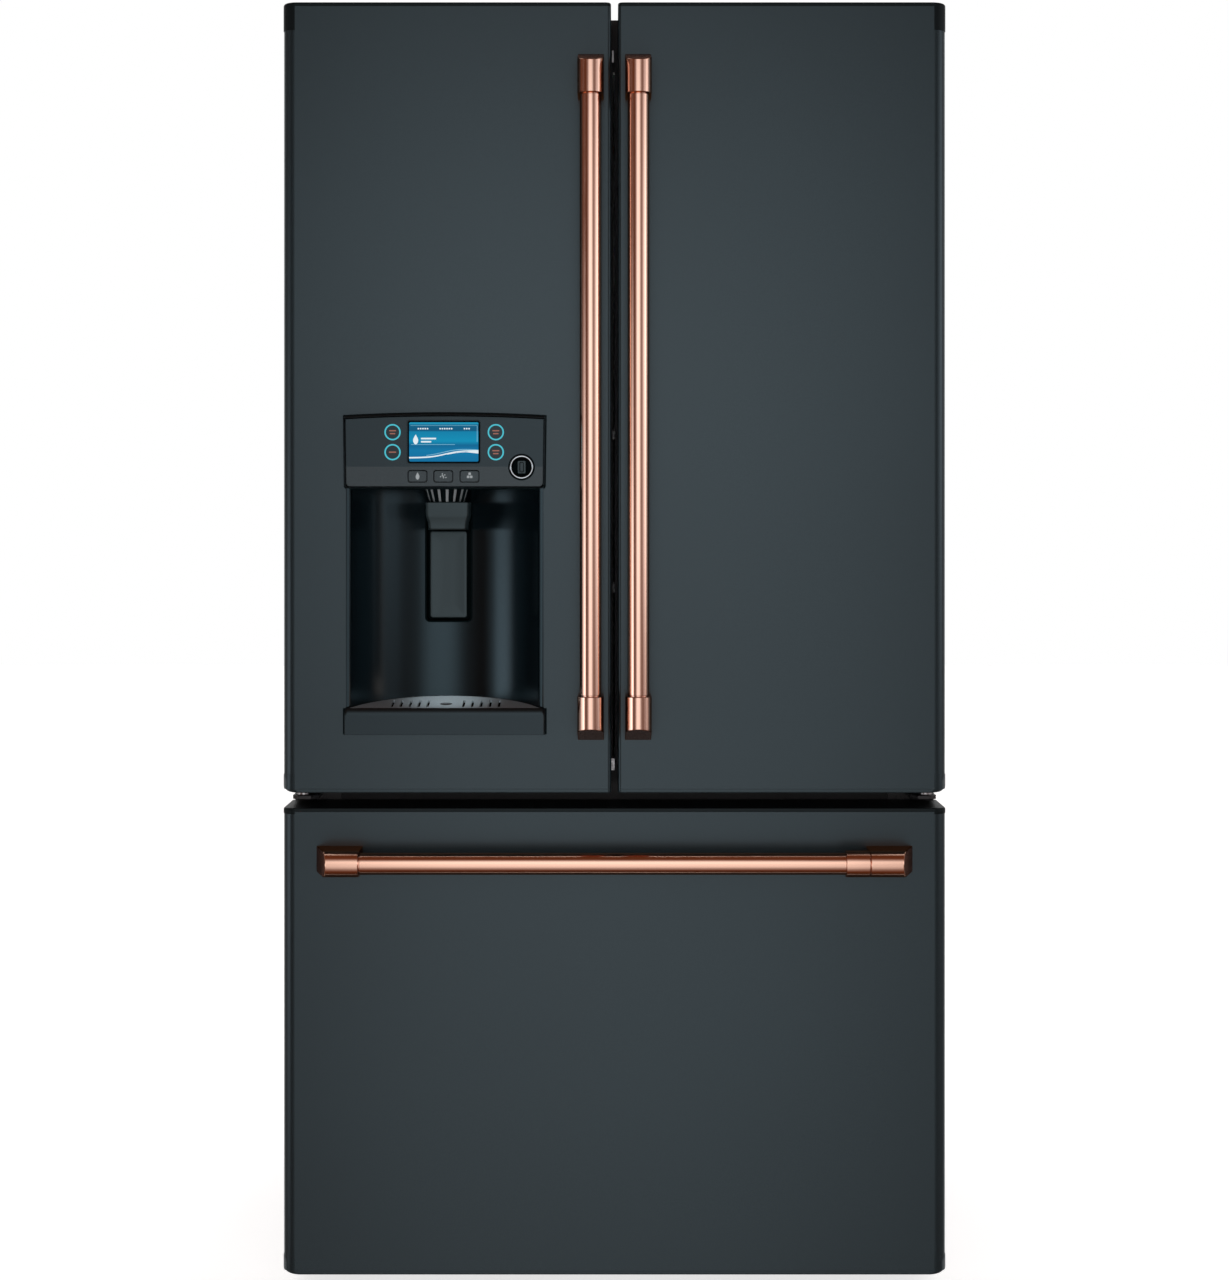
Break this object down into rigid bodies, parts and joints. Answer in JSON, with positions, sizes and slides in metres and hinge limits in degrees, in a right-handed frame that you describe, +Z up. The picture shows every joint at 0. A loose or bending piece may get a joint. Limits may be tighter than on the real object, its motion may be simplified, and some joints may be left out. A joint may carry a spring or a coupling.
{
  "type": "french door refrigerator",
  "caption": "Free-standing refrigerator with French doors over a freezer drawer, round bar handles, a door dispenser for ice and water, glass shelves, crispers and door bins.",
  "frame": {"origin": "on the floor, under the middle of the object's box", "axes": "+Z up, the doors face -Y, +X to the right of someone in front of it"},
  "size_m": [0.908, 0.933, 1.772],
  "materials": {
    "matte_black_steel": "matte slate black",
    "brushed_copper": "brushed copper coloured steel",
    "black_plastic": "matte black",
    "gloss_black": "gloss black",
    "white_liner": "satin white",
    "gasket_rubber": "soft dark grey",
    "clear_plastic": "clear moulded plastic",
    "shelf_glass": "clear tempered glass in a trim",
    "screen_glass": "lit blue screen under a clear cover",
    "zinc_steel": "zinc plated",
    "dark_steel": "black enamel",
    "grey_plastic": "moulded grey"
  },
  "bodies": {
    "cabinet": {"cabinet_shell": "matte_black_steel", "fresh_food_liner": "white_liner", "freezer_liner": "white_liner", "base_frame": "zinc_steel", "machine_cover": "grey_plastic", "compressor": "dark_steel", "top_hinge_left": "zinc_steel", "top_hinge_right": "zinc_steel", "hinge_cover_left": "black_plastic", "hinge_cover_right": "black_plastic", "center_hinge_left": "zinc_steel", "center_hinge_right": "zinc_steel", "shelf_upper_left": "shelf_glass", "shelf_upper_right": "shelf_glass", "shelf_lower": "shelf_glass", "crisper_cover": "shelf_glass", "slide_rail_left": "zinc_steel", "slide_rail_right": "zinc_steel"},
    "left_door": {"left_door_panel": "matte_black_steel", "left_door_liner": "white_liner", "left_door_gasket": "gasket_rubber", "left_handle": "brushed_copper", "dispenser_housing": "gloss_black", "control_panel": "gloss_black", "display_screen": "screen_glass", "ice_chute": "gloss_black", "drip_tray": "zinc_steel", "ice_box": "white_liner", "left_door_bin": "clear_plastic"},
    "right_door": {"right_door_panel": "matte_black_steel", "right_door_liner": "white_liner", "right_door_gasket": "gasket_rubber", "right_handle": "brushed_copper", "dairy_bin": "clear_plastic", "middle_bin": "clear_plastic", "lower_bin": "clear_plastic"},
    "freezer_drawer": {"drawer_panel": "matte_black_steel", "drawer_liner": "white_liner", "drawer_gasket": "gasket_rubber", "drawer_handle": "brushed_copper", "handle_collar": "brushed_copper", "freezer_basket": "clear_plastic"},
    "mullion": {"mullion": "grey_plastic"},
    "ice_box_door": {"ice_box_door": "white_liner"},
    "dairy_lid": {"dairy_lid": "clear_plastic"},
    "dispenser_paddle": {"dispenser_paddle": "gloss_black"},
    "button_water": {"button_water": "gloss_black"},
    "button_crushed": {"button_crushed": "gloss_black"},
    "button_cubed": {"button_cubed": "gloss_black"},
    "crisper_left": {"crisper_left": "clear_plastic"},
    "crisper_right": {"crisper_right": "clear_plastic"},
    "sliding_tray": {"sliding_tray": "clear_plastic"},
    "slide_mid_left": {"slide_mid_left": "zinc_steel"},
    "slide_mid_right": {"slide_mid_right": "zinc_steel"},
    "water_filter": {"water_filter": "grey_plastic"},
    "leveling_leg_left": {"leveling_leg_left": "grey_plastic"},
    "leveling_leg_right": {"leveling_leg_right": "grey_plastic"},
    "rear_roller_left": {"rear_roller_left": "grey_plastic"},
    "rear_roller_right": {"rear_roller_right": "grey_plastic"},
    "condenser_fan": {"condenser_fan": "black_plastic"}
  },
  "joints": [
    {"name": "left_door_hinge", "type": "hinge", "parent": "cabinet", "child": "left_door", "pos_m": [-0.432, -0.345, 0.692], "axis": [0, 0, -1], "range_deg": [0, 115]},
    {"name": "right_door_hinge", "type": "hinge", "parent": "cabinet", "child": "right_door", "pos_m": [0.432, -0.345, 0.692], "axis": [0, 0, 1], "range_deg": [0, 115]},
    {"name": "mullion_fold", "type": "hinge", "parent": "left_door", "child": "mullion", "pos_m": [-0.024, -0.285, 0.73], "axis": [0, 0, -1], "range_deg": [0, 90]},
    {"name": "ice_box_door_hinge", "type": "hinge", "parent": "left_door", "child": "ice_box_door", "pos_m": [-0.38, -0.1697, 1.215], "axis": [0, 0, 1], "range_deg": [0, 20]},
    {"name": "dairy_lid_hinge", "type": "hinge", "parent": "right_door", "child": "dairy_lid", "pos_m": [0.224, -0.1782, 1.6645], "axis": [1, 0, 0], "range_deg": [0, 85]},
    {"name": "paddle_pivot", "type": "hinge", "parent": "left_door", "child": "dispenser_paddle", "pos_m": [-0.2317, -0.3265, 1.0497], "axis": [1, 0, 0], "range_deg": [0, 5.5], "stiffness_Nm_per_rad": 0.6},
    {"name": "button_water_press", "type": "slide", "parent": "left_door", "child": "button_water", "axis": [0, 1, 0], "range_m": [0, 0.0012], "stiffness_N_per_m": 1200},
    {"name": "button_crushed_press", "type": "slide", "parent": "left_door", "child": "button_crushed", "axis": [0, 1, 0], "range_m": [0, 0.0012], "stiffness_N_per_m": 1200},
    {"name": "button_cubed_press", "type": "slide", "parent": "left_door", "child": "button_cubed", "axis": [0, 1, 0], "range_m": [0, 0.0012], "stiffness_N_per_m": 1200},
    {"name": "crisper_left_slide", "type": "slide", "parent": "cabinet", "child": "crisper_left", "axis": [0, -1, 0], "range_m": [0, 0.145]},
    {"name": "crisper_right_slide", "type": "slide", "parent": "cabinet", "child": "crisper_right", "axis": [0, -1, 0], "range_m": [0, 0.145]},
    {"name": "freezer_drawer_slide", "type": "slide", "parent": "cabinet", "child": "freezer_drawer", "axis": [0, -1, 0], "range_m": [0, 0.43]},
    {"name": "slide_mid_left_travel", "type": "slide", "parent": "cabinet", "child": "slide_mid_left", "axis": [0, -1, 0], "range_m": [0, 0.215]},
    {"name": "slide_mid_right_travel", "type": "slide", "parent": "cabinet", "child": "slide_mid_right", "axis": [0, -1, 0], "range_m": [0, 0.215]},
    {"name": "sliding_tray_travel", "type": "slide", "parent": "freezer_drawer", "child": "sliding_tray", "axis": [0, 1, 0], "range_m": [0, 0.1]},
    {"name": "water_filter_twist", "type": "hinge", "parent": "cabinet", "child": "water_filter", "pos_m": [0.34, 0.06, 1.652], "axis": [0, 1, 0], "range_deg": [0, 90]},
    {"name": "leveling_leg_left_turn", "type": "hinge", "parent": "cabinet", "child": "leveling_leg_left", "pos_m": [-0.38, -0.235, 0], "axis": [0, 0, 1], "continuous": true},
    {"name": "rear_roller_left_spin", "type": "hinge", "parent": "cabinet", "child": "rear_roller_left", "pos_m": [-0.38, 0.385, 0.02], "axis": [1, 0, 0], "continuous": true},
    {"name": "leveling_leg_right_turn", "type": "hinge", "parent": "cabinet", "child": "leveling_leg_right", "pos_m": [0.38, -0.235, 0], "axis": [0, 0, 1], "continuous": true},
    {"name": "rear_roller_right_spin", "type": "hinge", "parent": "cabinet", "child": "rear_roller_right", "pos_m": [0.38, 0.385, 0.02], "axis": [1, 0, 0], "continuous": true},
    {"name": "condenser_fan_spin", "type": "hinge", "parent": "cabinet", "child": "condenser_fan", "pos_m": [0.06, 0.33, 0.142], "axis": [1, 0, 0], "continuous": true}
  ],
  "couplings": [
    {"joint": "slide_mid_left_travel", "follows": "freezer_drawer_slide", "ratio": 0.5},
    {"joint": "slide_mid_right_travel", "follows": "freezer_drawer_slide", "ratio": 0.5}
  ]
}
